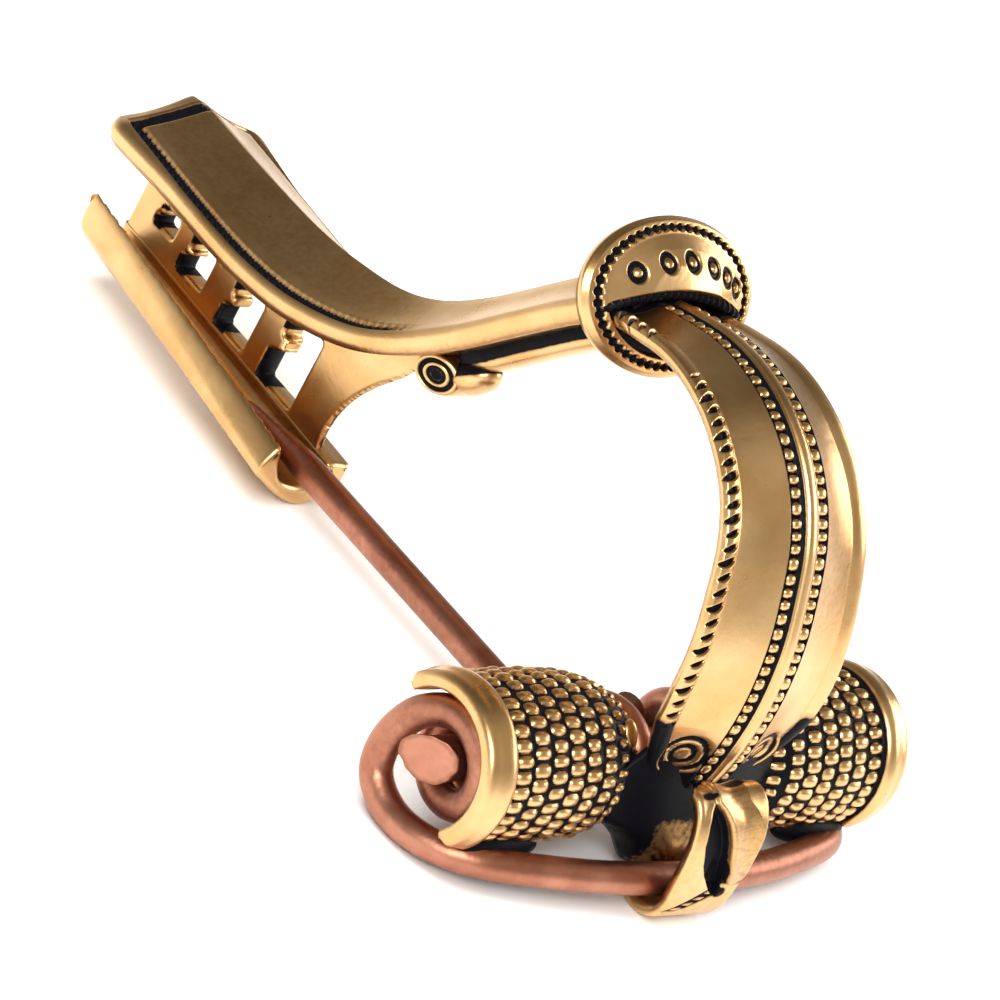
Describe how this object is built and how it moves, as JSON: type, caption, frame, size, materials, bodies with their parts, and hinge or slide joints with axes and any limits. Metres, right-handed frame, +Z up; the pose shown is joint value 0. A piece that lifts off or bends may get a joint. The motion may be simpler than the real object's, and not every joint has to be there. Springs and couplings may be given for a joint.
{
  "type": "fibula brooch",
  "caption": "Cast bow brooch with an oval collar, keeled foot, openwork catch, granulated spring sleeves, coil spring and pin.",
  "frame": {"origin": "centre of the bounding box's underside, where the brooch lies on a table, pin side down", "axes": "+X from the spring to the foot, +Y across the brooch to the side where the catch opens, +Z up through the bow"},
  "size_m": [0.066, 0.038, 0.032],
  "materials": {
    "bronze": "cast and polished, black patina left in the hollows",
    "copper": "drawn wire, dulled, with brown tarnish"
  },
  "bodies": {
    "brooch": {"casting": "bronze", "spring": "copper", "axle": "copper"},
    "pin": {"pin": "copper"}
  },
  "joints": [
    {"name": "pin_hinge", "type": "hinge", "parent": "brooch", "child": "pin", "pos_m": [-0.02367, 0.00265, 0.0058], "axis": [0, -1, 0], "range_deg": [0, 8], "stiffness_Nm_per_rad": 0.02}
  ]
}
